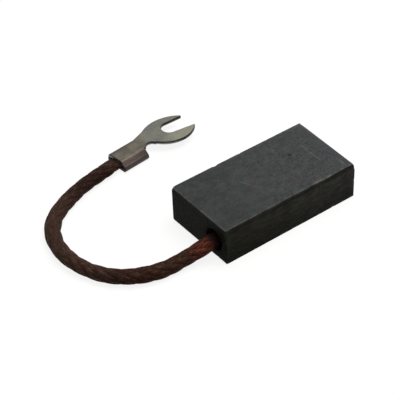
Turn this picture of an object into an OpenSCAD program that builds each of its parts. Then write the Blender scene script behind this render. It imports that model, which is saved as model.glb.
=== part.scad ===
// Carbon brush: a graphite block with a copper shunt tamped into one end and
// a crimped fork terminal on the shunt's free end. It lies on its broad face.
// Units are millimetres. The origin is the centre of the block's underside,
// +X runs towards the running face and +Z through the block's thickness.

/* [Carbon block] */
// Length of the block, from the shunt end to the running face
block_l = 48; // [34:1:80]
// Width of the block
block_w = 25; // [16:0.5:40]
// Thickness of the block
block_h = 12.5; // [9.5:0.5:20]
// Chamfer on every edge of the block
edge_break = 0.1; // [0.05:0.05:0.8]
// Chamfer on the two upright edges at the shunt end
end_chamfer = 0.2; // [0.1:0.1:2]
// Length of the worn bevel along the block's near side
bevel_l = 1.3; // [0.5:0.1:4]
// Depth of the worn bevel down the running face
bevel_h = 1.9; // [0.5:0.1:5]
// Size of the chipped corner at the shunt end
chip = 1.1; // [0.8:0.1:3]

/* [Shunt hole] */
// Diameter of the blind hole that holds the shunt
hole_d = 7; // [6.8:0.1:9]
// Depth of the hole's straight wall
hole_depth = 12; // [10:0.5:16]
// Distance of the hole's axis from the block's near side
hole_inset = 5.1; // [4.6:0.1:10]
// Angle of the drill point at the hole's bottom
drill_angle = 118; // [90:1:140]
// Depth of the tamped powder's face below the hole's mouth
plug_recess = 2.4; // [1:0.1:4]

/* [Shunt cord] */
// Diameter of the stranded cord where it lies free
cord_d = 4.4; // [3.6:0.1:4.8]
// Depth of the cord's end below the hole's mouth
cord_bury = 10.5; // [7:0.5:11.5]
// Distance of the cord's crimped end behind the barrel's front edge
cord_inset = 0.6; // [0.2:0.1:2]

/* [Crimp barrel] */
// Thickness of the terminal's sheet
sheet_t = 1; // [0.6:0.1:1.2]
// Length of the barrel
barrel_l = 9.4; // [7:0.2:14]
// Height of the crimped barrel
barrel_h = 3.5; // [3.2:0.1:5]
// Width of the barrel across its base
barrel_base_w = 8.4; // [7.4:0.1:10]
// Width of the barrel across its top
barrel_top_w = 7; // [6.4:0.1:8.2]
// Sideways lean of the barrel's top, left by the crimping tool
barrel_lean = 0.5; // [0:0.1:0.8]
// Outer radius of the barrel's bends
bend_r = 1.25; // [1.2:0.05:1.6]
// Gap between the two wings under the barrel
seam_gap = 0.3; // [0.1:0.1:1]
// Play between the barrel's side walls and the crimped cord
crimp_play = 0.1; // [0.05:0.05:0.3]

/* [Fork] */
// Width of the fork's slot, for an M5 stud
slot_w = 5.4; // [5:0.1:6.4]
// Distance of the slot's round end from the barrel's rear edge
slot_reach = 21.85; // [20:0.05:26]
// Sideways place of the slot's round end
slot_shift = 0.2; // [-0.5:0.1:0.8]
// Angle by which the fork is bent off the barrel's axis
fork_turn = -10; // [-14:1:0]
// Width of the near prong beside the slot's round end
near_prong_w = 4.3; // [3.4:0.1:5]
// Width of the far prong beside the slot's round end
far_prong_w = 2.8; // [2.2:0.1:4]
// Radius of the near prong's outer curve
near_curve_r = 9.3; // [8.8:0.1:10.5]
// Radius of the far prong's outer curve
far_curve_r = 12.1; // [10.5:0.1:13]
// Distance of the far curve's centre behind the slot's round end
far_curve_back = 0.85; // [0:0.05:1.5]
// Reach of the prongs, along the barrel, beyond the middle of the slot's round end
prong_l = 6.6; // [5:0.1:6.8]
// Flare of each side of the slot towards its mouth, in degrees
slot_flare = 3; // [0:0.5:5]
// Narrowest width of the neck
neck_w = 5.1; // [4:0.1:6]
// Step of the neck's far edge beyond the flat top of the barrel
neck_step = 0.5; // [0.1:0.1:0.9]
// Widening of the neck's far side, from the barrel to the fork's head
far_spread = 1.9; // [1.4:0.1:2.4]
// Widening of the neck's near side, from the barrel to the fork's head
near_spread = 0.8; // [0.5:0.1:1.2]
// Radius of the notch beside the neck
notch_r = 1.9; // [1.4:0.1:2.4]
// Distance of the notch from the barrel's front edge
notch_gap = 0.6; // [0.3:0.1:1.5]

/* [Hidden] */
$fn = 96;
// How far a cutter reaches past the surface that it cuts.
over = 1;
face_x = -block_l / 2;
hole_z = block_h / 2;
hole_offset = block_w / 2 - hole_inset;
plug_l = hole_depth - plug_recess;

// The cord's sides, and the turn that puts a flat side on top.
cord_sides = 12;
flat_turn = 180 / cord_sides;
flat_share = cos(flat_turn);
cord_r = cord_d / 2;
// Free way of the cord from inside the hole to the terminal: distance from the
// block's end, distance from the hole's axis, and share of the climb from the
// surface that the part lies on up to the hole.
cord_way = [
    [4.4, 0, 1], [2.3, 0.2, 0.92], [0.2, 0.5, 0.78], [-2, 0.9, 0.6],
    [-4.4, 1.4, 0.4], [-7.2, 1.9, 0.19], [-10.4, 2.3, 0.05], [-14, 2.4, 0],
    [-18.4, 3.2, 0], [-22.6, 4.9, 0], [-26.4, 7.4, 0], [-29.6, 10.8, 0],
    [-32, 15.2, 0], [-33.5, 20.4, 0], [-33.9, 25.8, 0], [-33, 31.4, 0],
    [-30.8, 36.4, 0], [-27, 40.7, 0], [-22.4, 43.6, 0], [-17.6, 45.8, 0],
    [-12.6, 47.5, 0], [-7.6, 48.6, 0], [-3, 49.5, 0]
];
// Rear end of the barrel, from the block's end and from the hole's axis.
terminal_at = [1.6, 50.6];
// Angle of the barrel's axis from +X.
terminal_turn = 6;

// Barrel section: the centres of its four bends, and its inner height.
top_half = barrel_top_w / 2 - bend_r;
base_half = barrel_base_w / 2 - bend_r;
bends = [
    [-base_half, bend_r], [base_half, bend_r],
    [barrel_lean + top_half, barrel_h - bend_r], [barrel_lean - top_half, barrel_h - bend_r]
];
inner_h = barrel_h - 2 * sheet_t;
inner_w = (barrel_top_w + barrel_base_w) / 2 - 2 * sheet_t;
// Half sizes of the crimped cord, measured to its corners.
crimped = [inner_w / 2 - 2 * crimp_play, inner_h / 2] / flat_share;

// A point at the barrel's mid height, from its rear edge and its axis.
function in_barrel(along, aside) =
    [face_x + terminal_at[0], terminal_at[1] - hole_offset, barrel_h / 2]
    + along * [cos(terminal_turn), sin(terminal_turn), 0]
    + aside * [-sin(terminal_turn), cos(terminal_turn), 0];

// Stations of the cord: a point, then its half width and half height.
free_half = [cord_r, cord_r];
buried = [[face_x + cord_bury, -hole_offset, hole_z], free_half];
free_way = [
    for (p = cord_way)
        [[face_x + p[0], p[1] - hole_offset, cord_r + p[2] * (hole_z - cord_r)], free_half]
];
// Way into the barrel: place from its rear edge, place from its axis, and
// share of the flattening.
crimp_way = [
    for (c = [[-2.4, -0.1, 0.5], [0, barrel_lean / 2, 1],
              [barrel_l - cord_inset, barrel_lean / 2, 1]])
        [in_barrel(c[0], c[1]) + [0, 0, (1 - c[2]) * (cord_r - barrel_h / 2)],
         free_half + c[2] * (crimped - free_half)]
];
stations = concat([buried], free_way, crimp_way);
last = len(stations) - 1;

function unit(v) = v / norm(v);
// Direction of the cord at a station, from its two neighbours.
function heading(i) =
    unit(stations[min(i + 1, last)][0] - stations[max(i - 1, 0)][0]);

// One ring of the cord, square to its direction, with a flat side on top.
function ring(i) =
    let (ahead = heading(i),
         side = unit(cross([0, 0, 1], ahead)),
         up = cross(ahead, side),
         half = stations[i][1])
    [for (k = [0:cord_sides - 1])
        let (a = flat_turn + k * 360 / cord_sides)
        stations[i][0] + half[0] * cos(a) * side + half[1] * sin(a) * up];

// Bare polygon of a section whose corners are rounded by circles.
function edge_out(a, b) = [(b - a)[1], -(b - a)[0]] / norm(b - a);
module rounded_section(centres, r) {
    n = len(centres);
    polygon([for (i = [0:n - 1]) let (a = centres[i], b = centres[(i + 1) % n])
        each [a + r * edge_out(a, b), b + r * edge_out(a, b)]]);
    for (c = centres) translate(c) circle(r);
}

// Rectangle in the plane with its corners cut at 45 degrees. The first cut is
// for the two corners at the low end of the first axis, the second for the rest.
module cut_rectangle(w, h, low_cut, high_cut) {
    polygon([
        [low_cut, 0], [w - high_cut, 0], [w, high_cut], [w, h - high_cut],
        [w - high_cut, h], [low_cut, h], [0, h - low_cut], [0, low_cut]
    ]);
}

// Tetrahedron that takes a corner off a box. The corner is at the origin, the
// box lies on the positive side of each axis, and legs are the cut lengths.
module corner_cut(legs) {
    reach = [for (i = [0:2])
        legs[i] * (1 + over / legs[(i + 1) % 3] + over / legs[(i + 2) % 3])];
    out = [-over, -over, -over];
    polyhedron(
        points = [out, [reach[0], -over, -over], [-over, reach[1], -over], [-over, -over, reach[2]]],
        faces = [[0, 1, 2], [0, 3, 1], [0, 2, 3], [1, 3, 2]]);
}

// Box with every edge broken, and larger cuts on the shunt end's upright edges.
module broken_block() {
    intersection() {
        translate([face_x, -block_w / 2, 0])
            linear_extrude(block_h)
                cut_rectangle(block_l, block_w, end_chamfer, edge_break);
        translate([face_x, block_w / 2, 0])
            rotate([90, 0, 0])
                linear_extrude(block_w)
                    cut_rectangle(block_l, block_h, edge_break, edge_break);
        translate([face_x, -block_w / 2, 0])
            rotate([90, 0, 90])
                linear_extrude(block_l)
                    cut_rectangle(block_w, block_h, edge_break, edge_break);
    }
}

// Blind hole along +X from a plane at the given depth below the block's end.
module drilled(from) {
    translate([face_x + from, -hole_offset, hole_z])
        rotate([0, 90, 0]) {
            cylinder(d = hole_d, h = hole_depth - from);
            translate([0, 0, hole_depth - from])
                cylinder(d1 = hole_d, d2 = 0, h = hole_d / 2 / tan(drill_angle / 2));
        }
}

module carbon_block() {
    color([0.2, 0.21, 0.21])
        difference() {
            broken_block();
            drilled(-over);
            translate([block_l / 2, -block_w / 2, block_h])
                mirror([1, 0, 0])
                    mirror([0, 0, 1])
                        corner_cut([bevel_l, block_w, bevel_h]);
            translate([face_x, block_w / 2, block_h])
                mirror([0, 1, 0])
                    mirror([0, 0, 1])
                        corner_cut([chip, chip, chip]);
        }
}

// Copper powder rammed round the cord, down to the bottom of the hole.
module tamping_plug() {
    color([0.3, 0.16, 0.1])
        difference() {
            drilled(plug_recess);
            cord_tube();
        }
}

// The cord as one plain tube, round where it is free and flat where it is crimped.
module cord_tube() {
    rings = [for (i = [0:last]) ring(i)];
    n = cord_sides;
    polyhedron(
        points = [for (r = rings) each r],
        faces = concat(
            [[for (k = [0:n - 1]) k]],
            [for (i = [0:last - 1], k = [0:n - 1]) let (m = (k + 1) % n)
                each [[i * n + k, (i + 1) * n + k, i * n + m],
                      [i * n + m, (i + 1) * n + k, (i + 1) * n + m]]],
            [[for (k = [n - 1:-1:0]) last * n + k]]));
}

module shunt_cord() {
    color([0.42, 0.2, 0.13])
        cord_tube();
}

// Crimped barrel along +X: one sheet bent round the cord, open at its seam.
module barrel() {
    rotate([90, 0, 90])
        linear_extrude(barrel_l)
            difference() {
                rounded_section(bends, bend_r);
                rounded_section(bends, bend_r - sheet_t);
                translate([barrel_lean / 2 - seam_gap / 2, -over])
                    square([seam_gap, over + 1.5 * sheet_t]);
            }
}

// Fork head about the middle of the slot's round end: two outer curves that
// meet the slot in pointed prongs, cut off square to the barrel.
slot_r = slot_w / 2;
slot_far = prong_l + 2 * over;
mouth_half = slot_r + slot_far * tan(slot_flare);
near_edge = slot_r + near_prong_w;
far_edge = slot_r + far_prong_w;
module fork_head() {
    difference() {
        intersection() {
            translate([0, near_curve_r - near_edge]) circle(near_curve_r);
            translate([-far_curve_back, far_edge - far_curve_r]) circle(far_curve_r);
            rotate(-fork_turn)
                translate([-slot_reach, -slot_reach])
                    square([slot_reach + prong_l, 2 * slot_reach]);
        }
        circle(slot_r);
        polygon([[0, -slot_r], [slot_far, -mouth_half], [slot_far, mouth_half], [0, slot_r]]);
    }
}

// Flat plate of the tongue: the neck from the barrel's top and the fork. The
// neck widens on each side until it runs into the fork's head.
neck_from = barrel_l - over;
neck_to = slot_reach - 2 * slot_r;
top_far = barrel_lean + top_half;
neck_far = top_far + neck_step;
neck_near = barrel_lean - top_half;
neck_mid_far = neck_far + far_spread / 2;
module tongue() {
    difference() {
        union() {
            translate([slot_reach, slot_shift]) rotate(fork_turn) fork_head();
            polygon([
                [neck_from, neck_near], [neck_to, neck_near - near_spread],
                [neck_to, neck_far + far_spread], [barrel_l, neck_far],
                [barrel_l, top_far], [neck_from, top_far]
            ]);
        }
        translate([barrel_l + notch_gap + notch_r, neck_mid_far - neck_w - notch_r])
            circle(notch_r);
    }
}

module fork_terminal() {
    color([0.66, 0.64, 0.58])
        translate([face_x + terminal_at[0], terminal_at[1] - hole_offset, 0])
            rotate([0, 0, terminal_turn]) {
                barrel();
                translate([0, 0, barrel_h - sheet_t])
                    linear_extrude(sheet_t)
                        tongue();
            }
}

carbon_block();
tamping_plug();
shunt_cord();
fork_terminal();
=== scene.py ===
"""Carbon brush: a pressed carbon block, its stranded copper shunt and the fork terminal on it."""

import math

import bmesh
import bpy
import numpy as np
from mathutils import Matrix, Vector, noise


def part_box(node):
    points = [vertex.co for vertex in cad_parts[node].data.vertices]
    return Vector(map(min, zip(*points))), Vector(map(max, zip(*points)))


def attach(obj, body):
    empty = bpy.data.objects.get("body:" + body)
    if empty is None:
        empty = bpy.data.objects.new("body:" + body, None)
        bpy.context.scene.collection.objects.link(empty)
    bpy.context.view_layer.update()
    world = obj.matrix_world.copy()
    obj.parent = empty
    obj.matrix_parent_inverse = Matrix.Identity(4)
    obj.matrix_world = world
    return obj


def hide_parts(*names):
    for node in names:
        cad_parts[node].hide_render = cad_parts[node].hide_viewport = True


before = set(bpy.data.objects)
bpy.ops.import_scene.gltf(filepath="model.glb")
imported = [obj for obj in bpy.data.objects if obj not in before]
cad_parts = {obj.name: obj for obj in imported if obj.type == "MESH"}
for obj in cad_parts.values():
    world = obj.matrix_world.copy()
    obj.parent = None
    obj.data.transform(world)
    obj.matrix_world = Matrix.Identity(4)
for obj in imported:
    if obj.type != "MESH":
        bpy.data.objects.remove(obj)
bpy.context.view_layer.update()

MM = 0.001

# The block and its blind hole, as the solids have them. Only the tip of the hole's
# drilled point lies past HOLE_END_X.
BLOCK_LOW, BLOCK_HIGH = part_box("carbon_block")
HOLE_Y, HOLE_Z, HOLE_R = -7.4 * MM, 6.25 * MM, 3.5 * MM
HOLE_END_X = -10 * MM
POWDER_FACE_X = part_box("tamping_plug")[0][0]

# The terminal's own frame: the middle of the barrel's rear edge, and its turn.
TERMINAL_AT = Vector((-22.4, 43.2, 0)) * MM
TERMINAL_TURN = math.radians(6)
BARREL_L = 9.4 * MM
PLATE_LOW = 2.5 * MM

# The shunt's way from inside the hole to the end of the crimp, in millimetres.
SHUNT_WAY = [
    (-13.5, -7.4, 6.25), (-19.6, -7.4, 6.25), (-21.7, -7.2, 5.93), (-23.8, -6.9, 5.36),
    (-26, -6.5, 4.63), (-28.4, -6, 3.82), (-31.2, -5.5, 2.97), (-34.4, -5.1, 2.4),
    (-38, -5, 2.2), (-42.4, -4.2, 2.2), (-46.6, -2.5, 2.2), (-50.4, 0, 2.2),
    (-53.6, 3.4, 2.2), (-56, 7.8, 2.2), (-57.5, 13, 2.2), (-57.9, 18.4, 2.2),
    (-57, 24, 2.2), (-54.8, 29, 2.2), (-51, 33.3, 2.2), (-46.4, 36.2, 2.2),
    (-41.6, 38.4, 2.2), (-36.6, 40.1, 2.2), (-31.6, 41.2, 2.2), (-27, 42.1, 2.2),
    (-24.78, 42.85, 1.98), (-22.43, 43.45, 1.75), (-13.67, 44.37, 1.75),
]
SHUNT_D = 4.4 * MM


# ------------------------------------------------------------ camera and light

# The camera's turn, rise and roll in degrees, its lens in millimetres, and its place
# from the frame's middle along its own back, right and up directions.
CAMERA_TURN, CAMERA_RISE, CAMERA_ROLL = -35.8912, 39.8674, -2.3054
CAMERA_LENS, SENSOR_W = 126.95, 36
CAMERA_BACK, CAMERA_RIGHT, CAMERA_UP = 413.95 * MM, -18.79 * MM, 2.335 * MM
# The nearest and the farthest that it sees, in metres.
NEAREST, FARTHEST = 0.01, 10

# The one softbox: its place and its side in metres, and its level.
SOFTBOX_AT, SOFTBOX_SIDE, SOFTBOX_LEVEL = Vector((0.15, -0.02, 0.6)), 0.5, 0.84


def add_object(name, data):
    """A new object in the scene, at the origin."""
    added = bpy.data.objects.new(name, data)
    bpy.context.scene.collection.objects.link(added)
    return added


def view_axes(turn, rise, roll):
    """Right, up and back directions of a camera that looks down at the bench."""
    back = Vector((
        math.sin(turn) * math.cos(rise), -math.cos(turn) * math.cos(rise), math.sin(rise)
    ))
    right = (-back).cross(Vector((0, 0, 1))).normalized()
    up = right.cross(-back)
    return (
        math.cos(roll) * right + math.sin(roll) * up,
        math.cos(roll) * up - math.sin(roll) * right,
        back,
    )


def make_camera():
    """The bench camera, from its angles and its place."""
    right, up, back = view_axes(
        math.radians(CAMERA_TURN), math.radians(CAMERA_RISE), math.radians(CAMERA_ROLL)
    )
    data = bpy.data.cameras.new("bench_camera")
    data.sensor_width = SENSOR_W
    data.lens = CAMERA_LENS
    data.clip_start, data.clip_end = NEAREST, FARTHEST
    camera = add_object("bench_camera", data)
    place = back * CAMERA_BACK + right * CAMERA_RIGHT + up * CAMERA_UP
    turned = Matrix((right, up, back)).transposed().to_4x4()
    camera.matrix_world = Matrix.Translation(place) @ turned
    bpy.context.scene.camera = camera


def make_softbox():
    """Square white softbox that faces the block. At level 1 it alone lights a white
    sheet that faces it to white."""
    data = bpy.data.lights.new("overhead_softbox", "AREA")
    data.shape = "SQUARE"
    data.size = SOFTBOX_SIDE
    data.energy = SOFTBOX_LEVEL * math.pi**2 * SOFTBOX_AT.length_squared
    lamp = add_object("overhead_softbox", data)
    lamp.location = SOFTBOX_AT
    lamp.rotation_mode = "QUATERNION"
    lamp.rotation_quaternion = SOFTBOX_AT.to_track_quat("Z", "Y")


# ------------------------------------------------------------ node helpers


class Nodes:
    """Adds nodes to one tree. An input is a number, a colour or another node's output."""

    def __init__(self, tree):
        self.tree = tree

    def put(self, socket, value):
        if isinstance(value, bpy.types.NodeSocket):
            self.tree.links.new(value, socket)
        else:
            socket.default_value = value

    def add(self, kind, inputs=None, **settings):
        node = self.tree.nodes.new(kind)
        for name, value in settings.items():
            setattr(node, name, value)
        for name, value in (inputs or {}).items():
            self.put(node.inputs[name], value)
        return node

    def math(self, operation, a, b=0.0, clamp=False):
        node = self.add(
            "ShaderNodeMath", {0: a, 1: b}, operation=operation, use_clamp=clamp
        )
        return node.outputs[0]

    def plus(self, a, b):
        return self.math("ADD", a, b)

    def minus(self, a, b):
        return self.math("SUBTRACT", a, b)

    def times(self, *factors):
        result = factors[0]
        for factor in factors[1:]:
            result = self.math("MULTIPLY", result, factor)
        return result

    def fade(self, value, start, end, at_start=0.0, at_end=1.0):
        """From one level to the other, smoothly, as a value goes from start to end."""
        node = self.add(
            "ShaderNodeMapRange",
            {"Value": value, "From Min": start, "From Max": end,
             "To Min": at_start, "To Max": at_end},
            interpolation_type="SMOOTHSTEP",
        )
        return node.outputs["Result"]

    def mix(self, share, a, b, blend="MIX"):
        node = self.add(
            "ShaderNodeMix", {0: share, 6: a, 7: b}, data_type="RGBA", blend_type=blend
        )
        return node.outputs[2]

    def over(self, tone, colour, *shares):
        """A tone with a colour laid over it, by the product of the shares."""
        return self.mix(self.times(*shares), tone, colour)

    def scaled(self, tone, factors):
        return self.mix(1.0, tone, factors, "MULTIPLY")

    def noise(self, vector, scale, detail=2.0, roughness=0.5, distortion=0.0):
        node = self.add("ShaderNodeTexNoise", {
            "Vector": vector, "Scale": scale, "Detail": detail,
            "Roughness": roughness, "Distortion": distortion,
        })
        return node.outputs["Fac"]

    def mapped(self, vector, scale=(1, 1, 1), turn=0.0, shift=(0, 0, 0)):
        node = self.add("ShaderNodeMapping", {
            "Vector": vector, "Scale": scale, "Rotation": (0, 0, turn), "Location": shift,
        })
        return node.outputs["Vector"]

    def split(self, vector):
        return self.add("ShaderNodeSeparateXYZ", {"Vector": vector}).outputs

    def join(self, x, y, z):
        node = self.add("ShaderNodeCombineXYZ", {"X": x, "Y": y, "Z": z})
        return node.outputs["Vector"]

    def attribute(self, name):
        return self.add("ShaderNodeAttribute", attribute_name=name).outputs["Fac"]

    def group(self, tree, inputs):
        node = self.add("ShaderNodeGroup", node_tree=tree)
        for name, value in inputs.items():
            self.put(node.inputs[name], value)
        return node.outputs

    def bump(self, height, distance):
        node = self.add(
            "ShaderNodeBump", {"Strength": 1.0, "Distance": distance, "Height": height}
        )
        return node.outputs["Normal"]

    def surface(self, **inputs):
        """Principled shader to the material's output."""
        names = {name.replace("_", " "): value for name, value in inputs.items()}
        shader = self.add("ShaderNodeBsdfPrincipled", names)
        out = self.add("ShaderNodeOutputMaterial")
        self.put(out.inputs["Surface"], shader.outputs["BSDF"])
        return shader


def shade(r, g, b):
    """Linear colour from plain 0 to 255 values."""
    def linear(c):
        c /= 255
        return c / 12.92 if c <= 0.04045 else ((c + 0.055) / 1.055) ** 2.4
    return (linear(r), linear(g), linear(b), 1.0)


def new_group(name, inputs, outputs):
    """Node group with the named sockets: its nodes, its given values and its results."""
    tree = bpy.data.node_groups.new(name, "ShaderNodeTree")
    for label, kind in inputs:
        tree.interface.new_socket(label, in_out="INPUT", socket_type="NodeSocket" + kind)
    for label, kind in outputs:
        tree.interface.new_socket(label, in_out="OUTPUT", socket_type="NodeSocket" + kind)
    nodes = Nodes(tree)
    return nodes, nodes.add("NodeGroupInput").outputs, nodes.add("NodeGroupOutput").inputs


def new_material(name):
    """Material with nothing in it yet, and its nodes."""
    material = bpy.data.materials.new(name)
    material.use_nodes = True
    material.node_tree.nodes.clear()
    return material, Nodes(material.node_tree)


def millimetres(n):
    """Object coordinates in millimetres, and the surface's own direction."""
    coordinates = n.add("ShaderNodeTexCoord").outputs
    return n.mapped(coordinates["Object"], (1 / MM,) * 3), coordinates["Normal"]


# ------------------------------------------------------------ shared effects


def make_patina():
    """Broad patches, fine specks and a grain height, for every aged surface."""
    n, given, out = new_group(
        "Patina",
        [("Vector", "Vector"), ("Patch Scale", "Float"), ("Speck Scale", "Float")],
        [("Patches", "Float"), ("Specks", "Float"), ("Grain", "Float")],
    )
    vector = given["Vector"]
    broad = n.noise(vector, given["Patch Scale"], 3, 0.55, 0.5)
    fine = n.noise(vector, given["Speck Scale"], 3, 0.65)
    n.put(out["Patches"], n.fade(broad, 0.36, 0.66))
    n.put(out["Specks"], n.fade(fine, 0.56, 0.72))
    n.put(out["Grain"], fine)
    return n.tree


def make_rubbing():
    """Fine lines that run along X, left by sawing, drawing or handling."""
    n, given, out = new_group(
        "Rubbing",
        [("Vector", "Vector"), ("Line Scale", "Float")],
        [("Lines", "Float")],
    )
    stretched = n.mapped(given["Vector"], (0.05, 1, 1))
    lines = n.noise(stretched, given["Line Scale"], 3, 0.6, 0.15)
    n.put(out["Lines"], n.fade(lines, 0.5, 0.74))
    return n.tree


# ------------------------------------------------------------ finishes

# In the finishes, places and sizes are in millimetres, and a noise's scale is its number
# of features in a millimetre.

# The painted shadow's middle lies a little past the hole's, towards the block's near side.
SHADOW_SHIFT = 1.2
# Scuffs: x where one would cross the middle, its lean, lowest y, highest y and share.
SCUFFS = [
    (17.5, 0.02, -6, 5, 0.4), (21.6, 0.0, -12, -7, 1.0),
    (7.4, 0.3, 4.5, 9.5, 0.4), (-6, -0.5, -4, 3, 0.4),
]
# What one unit of the rope's map stands for along the rope.
MAP_UNIT = 100 * MM


def pressed_grey(n, place, x, aged, lines):
    """Grey of the pressed carbon. Painted light makes it paler towards the running end, and
    it is more uneven there.
    """
    tone = n.mix(aged["Patches"], shade(61, 64, 64), shade(71, 75, 75))
    # Painted light: paler towards the running end, as if lit from there.
    tone = n.over(tone, shade(77, 81, 82), n.fade(x, -24, 10), 0.55)

    # Mottling, pale specks and brown patches.
    mottled = n.noise(n.mapped(place, (0.7, 1, 1)), 0.75, 5, 0.7, 0.3)
    uneven = n.fade(x, -20, 12, 0.25, 0.5)
    tone = n.over(tone, shade(54, 58, 56), n.fade(mottled, 0.36, 0.5, 1, 0), uneven)
    tone = n.over(tone, shade(88, 93, 92), n.fade(mottled, 0.5, 0.64), uneven)
    tone = n.over(tone, shade(102, 106, 104), aged["Specks"], n.fade(x, -10, 12, 0.42, 0.6))
    brown = n.fade(n.noise(place, 0.34, 4, 0.65), 0.52, 0.64)
    tone = n.over(tone, shade(84, 73, 74), brown, 0.45)

    # The pressing's own fine grain.
    fine = n.noise(n.mapped(place, (1, 0.7, 1), shift=(3, 8, 5)), 1.9, 3, 0.7, 0.4)
    grainy = n.fade(x, -20, 8, 0.12, 0.42)
    tone = n.over(tone, shade(92, 98, 96), n.fade(fine, 0.52, 0.66), grainy)
    tone = n.over(tone, shade(50, 53, 54), n.fade(fine, 0.48, 0.34), grainy)

    # A cooler band beside the running face, then the rubbed lines and dark spots.
    ragged_x = n.plus(x, n.times(n.noise(place, 0.25, 3, 0.6), 6))
    tone = n.over(tone, shade(80, 77, 83), n.fade(ragged_x, 21.5, 25.5, 0, 0.45))
    tone = n.over(tone, shade(96, 99, 95), lines, 0.14)
    dark = n.fade(n.noise(place, 1.1, 2, 0.5), 0.3, 0.42, 1, 0)
    return n.over(tone, shade(50, 53, 52), dark, 0.35)


def painted_side_shade(n, place, x, z):
    """What the sides multiply the block's grey by, as painted shade. They are a warmer black,
    paler towards the running end, where the light comes from, and darker low down and
    close under the upper edge. The shunt's end is darker still, and more even."""
    at_end = n.fade(x, -23.2, -23.8)
    tint = n.mix(n.fade(x, -6, 8), (0.82, 0.757, 0.636, 1), (0.985, 0.9, 0.82, 1))
    tint = n.mix(at_end, tint, n.scaled(tint, (0.75, 0.78, 0.83, 1)))

    lit = n.fade(z, -2, 11, n.fade(at_end, 0, 1, 0.46, 0.8), 1.14)
    lit = n.times(lit, n.fade(z, 0.1, 0.9, 0.7, 1))
    shade_under_edge = n.times(
        n.fade(x, -8, 3, 0.32, 0.5), n.fade(z, 10.2, 11.2), n.fade(at_end, 1, 0)
    )
    lit = n.times(lit, n.minus(1, shade_under_edge))
    drawn = n.noise(n.mapped(place, (0.3, 1, 1), shift=(1, 6, 2)), 0.9, 4, 0.65)
    lit = n.times(lit, n.fade(drawn, 0.36, 0.64, 0.76, 1.34))
    return n.scaled(tint, n.join(lit, lit, lit))


def painted_shadow_round_hole(n, place, x, y, z):
    """Share of the painted shadow that the rope casts on the shunt's end, round the hole."""
    off_y = n.minus(y, HOLE_Y / MM - SHADOW_SHIFT)
    off_z = n.minus(z, HOLE_Z / MM)
    to_hole = n.math("SQRT", n.plus(n.times(off_y, off_y), n.times(off_z, off_z)))
    to_hole = n.plus(to_hole, n.times(n.noise(place, 0.5, 3, 0.6), 2.4))
    return n.times(n.fade(to_hole, 5, 8.6, 0.92, 0), n.fade(x, -23.2, -23.7))


def scuff_lines(n, place, x, y):
    """Share of the thin, broken scuffs across the upper face."""
    scuffs = 0.0
    for from_x, lean, low_y, high_y, share in SCUFFS:
        off_x = n.minus(n.minus(x, from_x), n.times(y, lean))
        off_x = n.math("ABSOLUTE", n.plus(off_x, n.times(n.noise(place, 0.3), 0.8)))
        length = n.times(n.fade(y, low_y, low_y + 2), n.fade(y, high_y, high_y - 2))
        line = n.times(n.fade(off_x, 0.08, 0.6, share, 0), length)
        scuffs = n.math("MAXIMUM", scuffs, line)
    return n.times(scuffs, n.fade(n.noise(place, 0.9, 2, 0.6), 0.4, 0.6, 0.4, 1))


def carbon_finish(patina, rubbing):
    material, n = new_material("pressed_carbon")
    place, direction = millimetres(n)
    x, y, z = n.split(place)
    facing_up = n.fade(n.split(direction)[2], 0.4, 0.9)
    facing_side = n.fade(facing_up, 0, 1, 1, 0)
    aged = n.group(patina, {"Vector": place, "Patch Scale": 0.16, "Speck Scale": 2.6})
    lines = n.group(rubbing, {"Vector": place, "Line Scale": 0.9})["Lines"]

    tone = pressed_grey(n, place, x, aged, lines)
    # The sides are the top's grey darkened by painted shade.
    tone = n.mix(facing_side, tone, n.scaled(tone, painted_side_shade(n, place, x, z)))
    # Painted shadow of the rope on the shunt's end, round the hole.
    tone = n.over(tone, shade(13, 11, 9), painted_shadow_round_hole(n, place, x, y, z))
    tone = n.over(tone, shade(108, 113, 110), scuff_lines(n, place, x, y), facing_up)

    # The edges are worn pale in places, most of all at the running end, and the pale line along
    # them is partly a painted highlight.
    wear_and_highlight = n.times(
        n.attribute("edge"),
        n.fade(n.noise(place, 0.35, 3, 0.6), 0.4, 0.6, 0.15, 1),
        n.fade(x, 4, 13, 0.32, 1),
    )
    tone = n.over(tone, shade(140, 142, 137), wear_and_highlight)
    # The pit is painted dark, as painted shade in its hollow.
    tone = n.over(tone, shade(34, 36, 36), n.attribute("pit"))

    n.surface(
        Base_Color=tone,
        Roughness=n.fade(aged["Grain"], 0.3, 0.7, 0.6, 0.74),
        Specular_IOR_Level=0.03,
        Normal=n.bump(n.plus(aged["Grain"], n.times(lines, 0.3)), 0.03 * MM),
    )
    return material


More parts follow.
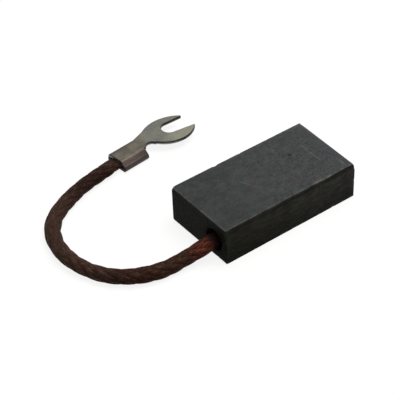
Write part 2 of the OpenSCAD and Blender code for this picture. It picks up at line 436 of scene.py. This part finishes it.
def copper_rope_finish(patina):
    material, n = new_material("stranded_copper")
    place, _ = millimetres(n)
    aged = n.group(patina, {"Vector": place, "Patch Scale": 0.24, "Speck Scale": 3.2})

    # The map runs round a strand, from its own number to the next, and along the rope.
    # Each strand takes its noise from a tube of its own, so no two strands look the same.
    around, along, _ = n.split(n.add("ShaderNodeUVMap", uv_map="lay").outputs["UV"])
    along = n.times(along, MAP_UNIT / MM)
    turn = n.times(around, 2 * math.pi)
    strand = n.math("FLOOR", n.plus(around, 0.001))
    on_strand = n.join(
        n.plus(n.times(n.math("COSINE", turn), 2.4), n.times(strand, 9.7)),
        n.times(n.math("SINE", turn), 2.4),
        n.times(along, 0.7),
    )
    streaks = n.noise(on_strand, 1.0, 3, 0.65, 0.3)
    wires = n.math("SINE", n.times(turn, WIRES_ROUND))

    def blotches(scale, shift):
        shifted = n.mapped(on_strand, shift=shift)
        return n.fade(n.noise(shifted, scale, 2, 0.5, 0.8), 0.5, 0.64)

    # Brown oxide, rubbed paler at the outer bend, with yellow, red and grey blotches.
    tone = n.mix(aged["Patches"], shade(39, 21, 15), shade(53, 31, 24))
    outer_bend = n.times(
        n.fade(along, 39, 47), n.fade(along, 57, 65, 1, 0.6), n.fade(along, 89, 77)
    )
    rubbed = n.fade(n.noise(place, 0.5, 4, 0.65), 0.36, 0.62, 0.2, 0.85)
    tone = n.over(tone, shade(84, 65, 56), outer_bend, rubbed)
    tone = n.over(tone, shade(72, 52, 32), blotches(0.62, (0, 0, 0)), 0.6)
    tone = n.over(tone, shade(66, 35, 36), blotches(0.7, (31, 7, 3)), 0.7)
    tone = n.over(tone, shade(44, 38, 32), blotches(0.6, (5, 43, 9)), 0.6)
    # Painted glints: pale streaks along the strands. Then dark streaks.
    tone = n.over(tone, shade(94, 70, 52), n.fade(streaks, 0.54, 0.7, 0, 0.5))
    tone = n.over(tone, shade(20, 12, 10), n.fade(streaks, 0.3, 0.46, 0.6, 0))

    # The length before the terminal is darker, and pale specks lie over all of it.
    before_terminal = n.times(n.fade(along, 80, 92), n.fade(along, 104, 100))
    tone = n.over(tone, shade(20, 12, 12), before_terminal, 0.35)
    tone = n.over(tone, shade(108, 82, 68), aged["Specks"], 0.4)

    # Fresh copper where the shunt flexes at the block, and painted shade where it goes into the
    # hole.
    flexed = n.times(n.fade(along, 10.4, 12.4), n.fade(along, 14.5, 21, 1, 0))
    tone = n.over(tone, shade(134, 62, 48), flexed, n.fade(streaks, 0.4, 0.62, 0.05, 0.48))
    tone = n.over(tone, shade(16, 9, 8), n.fade(along, 10.2, 12.5, 0.85, 0))

    # Dirt and painted shade between the strands.
    dirt_and_shade_between = n.fade(n.attribute("crown"), 0.6, 0.1, 0, 0.42)
    tone = n.over(tone, shade(16, 10, 8), dirt_and_shade_between)

    n.surface(
        Base_Color=tone,
        Metallic=0.2,
        Roughness=n.fade(streaks, 0.3, 0.7, 0.68, 0.5),
        Specular_IOR_Level=0.04,
        Normal=n.bump(n.plus(n.times(wires, 0.5), n.times(streaks, 2)), 0.03 * MM),
    )
    return material


def painted_barrel_wall_shade(n, own, z, aged):
    """The barrel's walls painted dark as their shaded reflection, with drawn lines and darker
    bands at the top and foot.
    """
    tone = n.mix(aged["Patches"], shade(60, 50, 48), shade(74, 63, 60))
    drawn = n.noise(n.mapped(own, (0.07, 1, 1)), 0.9, 3, 0.6)
    tone = n.over(tone, shade(92, 82, 79), n.fade(drawn, 0.46, 0.58, 0, 0.6))
    tone = n.over(tone, shade(64, 52, 50), n.fade(z, 2.1, 3.0))
    return n.over(tone, shade(66, 60, 58), n.fade(z, 1.6, 0.9))


def tin_plate_finish(patina, rubbing):
    material, n = new_material("stained_tin_plate")
    place, direction = millimetres(n)
    facing_up = n.fade(n.split(direction)[2], 0.7, 0.98)

    # The terminal's own axes: along it from the barrel's rear edge, across it, and up.
    back_turn = Matrix.Rotation(-TERMINAL_TURN, 3, "Z")
    own = n.mapped(place, turn=-TERMINAL_TURN, shift=-(back_turn @ TERMINAL_AT) / MM)
    along, across, z = n.split(own)
    aged = n.group(patina, {"Vector": own, "Patch Scale": 0.26, "Speck Scale": 1.6})
    lines = n.group(rubbing, {"Vector": own, "Line Scale": 3.0})["Lines"]

    barrel_tone = n.mix(aged["Patches"], shade(86, 82, 73), shade(105, 98, 86))
    plate_tone = n.mix(aged["Patches"], shade(102, 101, 95), shade(114, 113, 103))
    tone = n.mix(n.fade(along, 9, 15), barrel_tone, plate_tone)

    # The near prong is the brightest, and its bend is a little yellow.
    near_prong = n.times(n.fade(along, 15, 21), n.fade(across, -0.5, -3.5))
    tone = n.over(tone, shade(130, 129, 113), near_prong)

    # Brown stains, cooler patches, specks and rubbed lines.
    stain = n.fade(n.noise(own, 0.45, 3, 0.6, 0.8), 0.56, 0.7)
    tone = n.over(tone, shade(98, 84, 68), stain, 0.5)
    cool = n.fade(n.noise(n.mapped(own, shift=(9, 4, 2)), 0.5, 3, 0.6, 0.6), 0.52, 0.66)
    tone = n.over(tone, shade(104, 110, 113), cool, 0.35)
    tone = n.over(tone, shade(92, 88, 82), aged["Specks"], 0.25)
    tone = n.over(tone, shade(140, 140, 132), lines, 0.15)
    tone = n.over(tone, shade(40, 38, 34), n.attribute("rim"), n.fade(along, 9.4, 10.4), 0.85)

    # The barrel is painted darker along its bends, as painted shade that tones down their
    # reflection, and its walls take a painted shade and reflection of their own.
    shade_at_bend = n.fade(n.math("ABSOLUTE", across), 1.3, 3, 0, 0.5)
    tone = n.over(tone, shade(66, 58, 54), shade_at_bend, n.fade(along, 10.5, 9))
    tone = n.mix(facing_up, painted_barrel_wall_shade(n, own, z, aged), tone)

    height = n.plus(n.times(n.noise(own, 0.3, 2, 0.5), 3.0), n.times(lines, 0.15))
    height = n.plus(height, n.times(aged["Grain"], 0.3))
    n.surface(
        Base_Color=tone,
        Metallic=0.85,
        Roughness=n.fade(aged["Grain"], 0.3, 0.7, 0.42, 0.56),
        Specular_IOR_Level=0.3,
        Normal=n.bump(height, 0.05 * MM),
    )
    return material


def sheared_edge_finish(patina):
    material, n = new_material("sheared_copper_edge")
    place, _ = millimetres(n)
    x, _, z = n.split(place)
    aged = n.group(patina, {"Vector": place, "Patch Scale": 0.5, "Speck Scale": 4.0})
    # The cut edge is dark, partly its own oxide and partly painted shade.
    tone = n.mix(aged["Patches"], shade(30, 27, 25), shade(48, 43, 38))
    tone = n.over(tone, shade(90, 74, 62), aged["Specks"], 0.4)

    # The punch leaves a burnished band above, and below it a paler band that is partly torn metal
    # and partly a painted reflection of the bench.
    ragged_z = n.plus(z, n.times(n.noise(place, 0.5, 2, 0.5), 0.5))
    torn_and_reflecting = n.times(
        n.fade(ragged_z, 3.35, 3.15), n.fade(x, 0, -2, 0.35, 0.95), n.fade(z, 2.2, 2.45)
    )
    n.surface(
        Base_Color=n.over(tone, shade(132, 130, 124), torn_and_reflecting),
        Metallic=n.fade(torn_and_reflecting, 0, 1, 0.3, 0.9),
        Roughness=0.5,
        Specular_IOR_Level=0.1,
        Normal=n.bump(aged["Grain"], 0.03 * MM),
    )
    return material


def tamped_powder_finish(patina):
    material, n = new_material("tamped_copper_powder")
    place, _ = millimetres(n)
    aged = n.group(patina, {"Vector": place, "Patch Scale": 0.8, "Speck Scale": 5.0})
    tone = n.mix(aged["Patches"], shade(54, 32, 26), shade(88, 50, 38))
    n.surface(
        Base_Color=n.over(tone, shade(156, 92, 66), aged["Specks"], 0.6),
        Metallic=0.3,
        Roughness=0.7,
        Specular_IOR_Level=0.15,
        Normal=n.bump(aged["Grain"], 0.12 * MM),
    )
    return material


# ------------------------------------------------------------ bench and room

# Half the bench's side in metres, how far it lies under the part so that no faces meet
# it, and how white it is to the camera by itself. The rest of its white is lit.
BENCH_HALF, BENCH_DROP, BENCH_GLOW = 3, 0.02 * MM, 0.87


def seen_directly(n):
    """1 for what the camera, a reflection or a clear body sees, else 0."""
    path = n.add("ShaderNodeLightPath").outputs
    sight = n.plus(path["Is Camera Ray"], path["Is Glossy Ray"])
    return n.math("ADD", sight, path["Is Transmission Ray"], clamp=True)


def bench_finish():
    material, n = new_material("pale_bench")
    grain = n.noise(millimetres(n)[0], 0.02, 2, 0.5)
    shader = n.surface(
        Base_Color=n.mix(grain, (0.19, 0.19, 0.185, 1), (0.21, 0.21, 0.205, 1)),
        Roughness=0.9,
        Specular_IOR_Level=0.0,
        Emission_Color=(1, 1, 1, 1),
    )
    n.put(shader.inputs["Emission Strength"], n.times(seen_directly(n), BENCH_GLOW))
    return material


def make_world():
    """A white room to look at, which lights the part only a little."""
    world = bpy.data.worlds.new("studio")
    world.use_nodes = True
    world.node_tree.nodes.clear()
    n = Nodes(world.node_tree)
    colour = n.mix(seen_directly(n), (0.12, 0.11, 0.09, 1), (1, 1, 1, 1))
    background = n.add("ShaderNodeBackground", {"Color": colour, "Strength": 1.0})
    out = n.add("ShaderNodeOutputWorld")
    n.put(out.inputs["Surface"], background.outputs["Background"])
    bpy.context.scene.world = world


def make_bench(finish):
    bm = bmesh.new()
    bmesh.ops.create_grid(bm, x_segments=1, y_segments=1, size=BENCH_HALF)
    bmesh.ops.translate(bm, verts=bm.verts, vec=(0, 0, -BENCH_DROP))
    bench = finish_piece(bm, "bench", [finish])


# ------------------------------------------------------------ piece helpers

# Corners this close are one, faces that turn less than this are one, and a corner this
# close to a cut already lies on it.
JOINED_WITHIN, FLAT_WITHIN, CUT_WITHIN = 0.001 * MM, math.radians(0.5), 0.0001 * MM


def finish_piece(bm, name, materials, smooth_below=None):
    """Object from a bmesh, with its materials. It is smooth over every edge that turns
    less than a number of degrees, where one is given."""
    mesh = bpy.data.meshes.new(name)
    bm.to_mesh(mesh)
    bm.free()
    for material in materials:
        mesh.materials.append(material)
    if smooth_below is not None:
        mesh.shade_smooth()
        mesh.set_sharp_from_angle(angle=math.radians(smooth_below))
    return add_object(name, mesh)


def solid_copy(node):
    """Bmesh of a solid from the frame, with its loose triangles joined into faces."""
    bm = bmesh.new()
    bm.from_mesh(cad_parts[node].data)
    bmesh.ops.remove_doubles(bm, verts=bm.verts, dist=JOINED_WITHIN)
    bmesh.ops.dissolve_limit(
        bm, angle_limit=FLAT_WITHIN, verts=bm.verts, edges=bm.edges, delimit={"NORMAL"}
    )
    return bm


def cut_at(bm, axis, places):
    """Cuts every face by planes square to an axis, so that it can be shaped finely."""
    normal = Vector((axis == 0, axis == 1, axis == 2))
    for place in places:
        bmesh.ops.bisect_plane(
            bm, geom=bm.verts[:] + bm.edges[:] + bm.faces[:], dist=CUT_WITHIN,
            plane_co=normal * place, plane_no=normal,
        )


def split_large_faces(bm):
    """Triangles in place of every face of more than four corners."""
    bmesh.ops.triangulate(bm, faces=[f for f in bm.faces if len(f.verts) > 4])


def close_to_ends(low, high, near, step):
    """Places from low to high, close together at both ends and a step apart between."""
    inner_low, inner_high = low + near[-1], high - near[-1]
    count = max(1, round((inner_high - inner_low) / step))
    middle = [inner_low + (inner_high - inner_low) * i / count for i in range(count + 1)]
    return [low + d for d in near[:-1]] + middle + [high - d for d in near[:-1]]


def rough(point, scale, seed):
    """Smooth noise from -1 to 1, with features about one scale apart."""
    return noise.noise(point / scale + Vector((seed, -seed, 2 * seed)))


# ------------------------------------------------------------ block and powder

# Where the block's faces are cut for shaping: distances from an edge, the step between,
# and rows on both sides of the pit.
BY_EDGE = [d * MM for d in (0.15, 0.3, 0.45, 0.65, 0.9, 1.2, 1.6)]
BLOCK_STEP = 0.6 * MM
BY_PIT = [d * MM for d in (-0.5, -0.25, 0.25, 0.5)]

# The worn line along an edge, how far from an edge it still crumbles, and over what
# distance that fades.
WORN_LINE_W, EDGE_REACH, EDGE_FADE = 0.35 * MM, 1.3 * MM, 0.3 * MM
# Chips: how far apart, how rare from 0 to 1, how deep, and a seed. Crumbs: the same
# without the rarity.
CHIP_STEP, CHIP_RARE, CHIP_DEPTH, CHIP_SEED = 2.4 * MM, 0.34, 0.7 * MM, 3
CRUMB_STEP, CRUMB_DEPTH, CRUMB_SEED = 1.8 * MM, 0.03 * MM, 8
# The bevel that runs out along the upper edge of the running face: its three legs, the
# share of its depth along X that is left where it is rounded over, and how close to its
# plane still counts as on it.
BEVEL, BEVEL_LEFT, ON_BEVEL = Vector((1.3, 25, 1.9)) * MM, 0.73, 0.01
# The rubbed lower edge of the shunt's end: how far in the wear reaches, over what
# distance it fades, and its depth.
HEEL, HEEL_FADE, HEEL_WEAR = 2.6 * MM, 0.5 * MM, 0.3 * MM
# A small pit in the upper face: its place, radius and depth.
PIT_AT, PIT_R, PIT_DEPTH = Vector((11.7, 2.5, 12.5)) * MM, 0.55 * MM, 0.35 * MM

# The powder's face is cut at this step. Its lumps: how high, how wide, and a seed.
POWDER_STEP = 0.3 * MM
LUMPS = [(0.22 * MM, 0.9 * MM, 4), (0.1 * MM, 0.35 * MM, 6)]
# How close to the hole's wall, and to the powder's face, still counts as on it.
ON_WALL, ON_FACE = 0.05 * MM, 0.02 * MM


def from_hole_middle(p):
    """How far a point lies from the hole's middle line."""
    return math.hypot(p.y - HOLE_Y, p.z - HOLE_Z)


def depth_in_block(p, i):
    """How far a point lies from the nearer of the block's two sides across one axis."""
    return min(p[i] - BLOCK_LOW[i], BLOCK_HIGH[i] - p[i])


def to_edge(p):
    """How far a point on the block lies from the nearest edge."""
    nearest, second, _ = sorted(depth_in_block(p, i) for i in range(3))
    return nearest + second


def edge_wear(p):
    """How chips and crumbling move a point that is near two or three of the sides."""
    inward = Vector()
    for i in range(3):
        if depth_in_block(p, i) < EDGE_REACH:
            inward[i] = 1 if p[i] < (BLOCK_LOW[i] + BLOCK_HIGH[i]) / 2 else -1
    if inward.length_squared < 2:
        return Vector()
    chip = max(0, rough(p, CHIP_STEP, CHIP_SEED) - CHIP_RARE) * CHIP_DEPTH
    crumb = (1 + rough(p, CRUMB_STEP, CRUMB_SEED)) / 2 * CRUMB_DEPTH
    return inward * (chip + crumb) * math.exp(-to_edge(p) / EDGE_FADE)


def heel_wear(p):
    """How the rubbed lower edge of the shunt's end moves a point."""
    to_heel = p.x - BLOCK_LOW.x + p.z - BLOCK_LOW.z
    if to_heel >= HEEL:
        return Vector()
    return Vector((1, 0, 1)) * HEEL_WEAR * math.exp(-to_heel / HEEL_FADE)


def bevel_rounding(p):
    """How far out a point of the running face's bevel is rounded over."""
    legs = (BLOCK_HIGH.x - p.x, p.y - BLOCK_LOW.y, BLOCK_HIGH.z - p.z)
    off_bevel = abs(sum(leg / whole for leg, whole in zip(legs, BEVEL)) - 1)
    return Vector((legs[0] * (1 - BEVEL_LEFT) if off_bevel < ON_BEVEL else 0, 0, 0))


def make_block(finish):
    """The block with its edges worn and chipped a little."""
    bm = solid_copy("carbon_block")
    for axis in range(3):
        places = close_to_ends(BLOCK_LOW[axis], BLOCK_HIGH[axis], BY_EDGE, BLOCK_STEP)
        if axis < 2:
            places += [PIT_AT[axis] + row for row in BY_PIT]
        cut_at(bm, axis, places)
    split_large_faces(bm)

    edge = bm.verts.layers.float.new("edge")
    pit = bm.verts.layers.float.new("pit")
    for v in bm.verts:
        p = v.co.copy()
        # The inside of the hole stays as drilled.
        if from_hole_middle(p) >= HOLE_R + ON_WALL or p.x >= HOLE_END_X:
            v[edge] = math.exp(-to_edge(p) / WORN_LINE_W)
            v.co += edge_wear(p) + heel_wear(p) + bevel_rounding(p)
        to_pit = (p - PIT_AT).length
        if to_pit < 2 * PIT_R:
            v[pit] = math.exp(-((to_pit / PIT_R) ** 2))
            v.co.z -= PIT_DEPTH * v[pit]

    block = finish_piece(bm, "pressed_block", [finish], smooth_below=40)
    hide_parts("carbon_block")
    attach(block, "root")


def make_powder(finish):
    """The rammed powder, with a rough face where it shows in the hole."""
    bm = solid_copy("tamping_plug")
    low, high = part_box("tamping_plug")
    for axis in (1, 2):
        count = round((high[axis] - low[axis]) / POWDER_STEP)
        step = (high[axis] - low[axis]) / count
        cut_at(bm, axis, [low[axis] + step * i for i in range(1, count)])
    for v in bm.verts:
        on_face = v.co.x < POWDER_FACE_X + ON_FACE
        if on_face and from_hole_middle(v.co) < HOLE_R - ON_WALL:
            v.co.x += sum(height * rough(v.co, width, seed) for height, width, seed in LUMPS)
    split_large_faces(bm)

    powder = finish_piece(bm, "tamped_powder", [finish], smooth_below=50)
    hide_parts("tamping_plug")
    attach(powder, "root")


# ------------------------------------------------------------ shunt

# The rope: its strands, pressed close together, the wires that show round a strand,
# the length in which a strand goes once round the rope, and a wire round its strand.
STRANDS, WIRES_ROUND = 6, 16
ROPE_LAY, WIRE_LAY = 27 * MM, -23 * MM
# The step between the rings of points, and the points on each wire that shows.
RING_STEP, SIDES_PER_WIRE = 0.55 * MM, 4
STRAND_SIDES = WIRES_ROUND * SIDES_PER_WIRE
# A strand's middle and half width as shares of the rope's, and how deep its wires show.
STRAND_AT, STRAND_R, WIRE_RELIEF = 0.43, 0.57, 0.03
# A strand lies a little further out and in again, by a share and over a length, and
# starts this much of a turn after the strand before it.
LOOSE, LOOSE_LENGTH, LOOSE_TURN = 0.05, 7.3 * MM, 2.1
# How far out on the rope, from 0 at its middle to 1 at its side, a strand's surface
# starts to count as its outside.
CROWN_FROM = 0.84

# Where the rope spreads and narrows: millimetres from its start, then its half width and
# half height as shares of the shunt's radius. It ends flat in the crimp.
ROPE_SPREAD = [
    (0, 0.96, 0.96), (8, 0.98, 0.98), (10.5, 1.02, 1.02), (13.5, 1.12, 1.06),
    (17, 1.07, 1.03), (21, 1.06, 1.02), (26, 1.09, 1.02), (30, 1.10, 1.03),
    (35, 1.12, 1.03), (38, 1.07, 1.01), (44, 1.03, 1.00), (49, 0.95, 0.98),
    (53, 1.00, 0.99), (59, 1.14, 1.03), (63, 1.09, 1.00), (68, 1.13, 1.00),
    (74, 1.12, 1.00), (80, 1.09, 1.00), (85, 1.14, 1.02), (89, 1.05, 0.99),
    (92, 1.00, 0.98), (98, 1.02, 0.97), (102, 1.16, 0.84), (105, 1.26, 0.55),
    (107, 1.19, 0.34), (120, 1.19, 0.34),
]


def on_line(a, b, t_a, t_b, t):
    """The point at t on the line from a, which is at t_a, to b, which is at t_b."""
    return ((t_b - t) * a + (t - t_a) * b) / (t_b - t_a)


def smooth_way(points, step, fine_steps=40):
    """Evenly spaced places on a smooth curve through the given points, and how far
    along it each one is. The curve is a centripetal Catmull-Rom spline."""
    # One more point past each end gives the curve its direction there.
    p = np.array(points, dtype=float) * MM
    p = np.vstack([2 * p[0] - p[1], p, 2 * p[-1] - p[-2]])
    fine = []
    for a, b, c, d in zip(p, p[1:], p[2:], p[3:]):
        gaps = [np.sqrt(np.linalg.norm(q - r)) for q, r in ((b, a), (c, b), (d, c))]
        t0, t1, t2, t3 = np.cumsum([0, *gaps])
        for t in np.linspace(t1, t2, fine_steps, endpoint=False):
            ab, bc = on_line(a, b, t0, t1, t), on_line(b, c, t1, t2, t)
            cd = on_line(c, d, t2, t3, t)
            abc, bcd = on_line(ab, bc, t0, t2, t), on_line(bc, cd, t1, t3, t)
            fine.append(on_line(abc, bcd, t1, t2, t))
    fine = np.array([*fine, p[-2]])
    run = np.concatenate([[0], np.cumsum(np.linalg.norm(np.diff(fine, axis=0), axis=1))])
    even = np.linspace(0, run[-1], round(run[-1] / step) + 1)
    return np.stack([np.interp(even, run, fine[:, i]) for i in range(3)], axis=1), even


def rope_frames(way):
    """Directions sideways and up, square to the rope, at each point of the way."""
    ahead = np.gradient(way, axis=0)
    ahead /= np.linalg.norm(ahead, axis=1)[:, None]
    side = np.cross([0, 0, 1], ahead)
    side /= np.linalg.norm(side, axis=1)[:, None]
    return side, np.cross(ahead, side)


def rope_halves(run):
    """Half width and half height of the rope along its length."""
    places, *halves = np.array(ROPE_SPREAD).T

    def eased(shares):
        """Sizes between the rows of the table, evened out over five rings."""
        sizes = np.interp(run, places * MM, shares * SHUNT_D / 2)
        return np.convolve(np.pad(sizes, 2, mode="edge"), np.ones(5) / 5, mode="valid")

    return [eased(shares) for shares in halves]


def lay_strand(index, run):
    """One strand on the rope's own cross-section, point by point round the strand and
    along the rope: how far sideways and up, as shares of the rope's half sizes."""
    turn = 2 * math.pi * (index / STRANDS + run / ROPE_LAY)
    middle = STRAND_AT * (1 + LOOSE * np.sin(run / LOOSE_LENGTH + LOOSE_TURN * index))
    angle = 2 * math.pi * np.arange(STRAND_SIDES)[:, None] / STRAND_SIDES
    spin = angle + 2 * math.pi * run / WIRE_LAY
    # Round wires side by side: broad crowns, and narrow grooves between them.
    wire_crown = np.abs(np.cos(angle * WIRES_ROUND / 2)) ** 0.6
    r = STRAND_R * (1 - WIRE_RELIEF + WIRE_RELIEF * wire_crown)
    return middle * np.cos(turn) + r * np.cos(spin), middle * np.sin(turn) + r * np.sin(spin)


def strand_faces(index, run):
    """The faces of one strand with both ends closed, and the map's place of each corner."""
    rings, first = len(run), index * STRAND_SIDES
    faces, lays = [], []
    for k in range(STRAND_SIDES):
        a, b = (first + k) * rings, (first + (k + 1) % STRAND_SIDES) * rings
        u0, u1 = index + k / STRAND_SIDES, index + (k + 1) / STRAND_SIDES
        for i in range(rings - 1):
            v0, v1 = run[i] / MAP_UNIT, run[i + 1] / MAP_UNIT
            faces.append((a + i, b + i, b + i + 1, a + i + 1))
            lays += [(u0, v0), (u1, v0), (u1, v1), (u0, v1)]
    for i, order in ((0, range(STRAND_SIDES - 1, -1, -1)), (rings - 1, range(STRAND_SIDES))):
        faces.append(tuple((first + k) * rings + i for k in order))
        lays += [(index + k / STRAND_SIDES, run[i] / MAP_UNIT) for k in order]
    return faces, lays


def make_rope(finish):
    """The shunt: strands of fine wires laid close together, as one mesh."""
    way, run = smooth_way(SHUNT_WAY, RING_STEP)
    side, up = rope_frames(way)
    half_w, half_h = rope_halves(run)
    points, crowns, faces, lays = [], [], [], []
    for index in range(STRANDS):
        across, upward = lay_strand(index, run)
        points.append(
            way + side * (across * half_w)[..., None] + up * (upward * half_h)[..., None]
        )
        crowns.append(np.hypot(across, upward))
        new_faces, new_lays = strand_faces(index, run)
        faces += new_faces
        lays += new_lays
    points = np.array(points).reshape(-1, 3)
    # The bench presses the strands flat where they would dip into it.
    points[:, 2] = np.maximum(points[:, 2], 0)

    mesh = bpy.data.meshes.new("shunt_rope")
    mesh.from_pydata(points.tolist(), [], faces)
    mesh.uv_layers.new(name="lay").data.foreach_set("uv", np.array(lays).ravel())
    # 1 where a strand shows on the rope's outside, down to 0 between the strands.
    crown = mesh.attributes.new("crown", "FLOAT", "POINT")
    outside = np.clip((np.array(crowns).ravel() - CROWN_FROM) / (1 - CROWN_FROM), 0, 1)
    crown.data.foreach_set("value", outside)
    mesh.materials.append(finish)
    mesh.shade_smooth()
    rope = add_object("shunt_rope", mesh)
    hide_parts("shunt_cord")
    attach(rope, "root")
    return rope, way


# ------------------------------------------------------------ terminal

# The plate's dark rim, how far the sheet's edges are eased, the least turn of an edge
# that is eased, in degrees, and the least area of the plate's upper face.
RIM_W, EASED, SHARP_FROM = 0.13 * MM, 0.09 * MM, 42
PLATE_AREA = 20 * MM**2


def is_sheared(face, along):
    """Whether a face of the terminal is a wall of its plate or an end of its barrel."""
    lowest = min(v.co.z for v in face.verts)
    place = (face.calc_center_median() - TERMINAL_AT).dot(along)
    upright = abs(face.normal.z) < 0.3
    plate_wall = upright and lowest > PLATE_LOW - 0.01 * MM and place > BARREL_L
    barrel_end = abs(face.normal.dot(along)) > 0.9
    return plate_wall or barrel_end


def is_plate_top(face):
    """Whether a face of the terminal is the flat upper side of its plate."""
    high = face.normal.z > 0.99 and face.calc_center_median().z > PLATE_LOW
    return high and face.calc_area() > PLATE_AREA


def make_terminal(plate_finish, edge_finish):
    """The terminal with its sharp edges eased, and its cut edges in their own finish."""
    bm = solid_copy("fork_terminal")
    along = Vector((math.cos(TERMINAL_TURN), math.sin(TERMINAL_TURN), 0))
    bm.normal_update()
    for face in bm.faces:
        face.material_index = int(is_sheared(face, along))

    rim = bm.faces.layers.float.new("rim")
    plate = [face for face in bm.faces if is_plate_top(face)]
    ring = bmesh.ops.inset_individual(bm, faces=plate, thickness=RIM_W, use_even_offset=True)
    for face in ring["faces"]:
        face[rim] = 1

    sharp = [
        e for e in bm.edges
        if len(e.link_faces) == 2 and e.calc_face_angle() > math.radians(SHARP_FROM)
    ]
    bmesh.ops.bevel(
        bm, geom=sharp, affect="EDGES", offset=EASED, offset_type="OFFSET",
        segments=2, profile=0.5, material=-1, clamp_overlap=True,
    )
    terminal = finish_piece(
        bm, "crimped_fork", [plate_finish, edge_finish], smooth_below=35
    )
    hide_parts("fork_terminal")
    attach(terminal, "root")
    return terminal


# ------------------------------------------------------------ assembly

make_camera()
patina, rubbing = make_patina(), make_rubbing()
rope, rope_way = make_rope(copper_rope_finish(patina))
terminal = make_terminal(tin_plate_finish(patina, rubbing), sheared_edge_finish(patina))
make_block(carbon_finish(patina, rubbing))
make_powder(tamped_powder_finish(patina))
make_world()
make_bench(bench_finish())
make_softbox()

bpy.context.scene.view_settings.view_transform = "Standard"
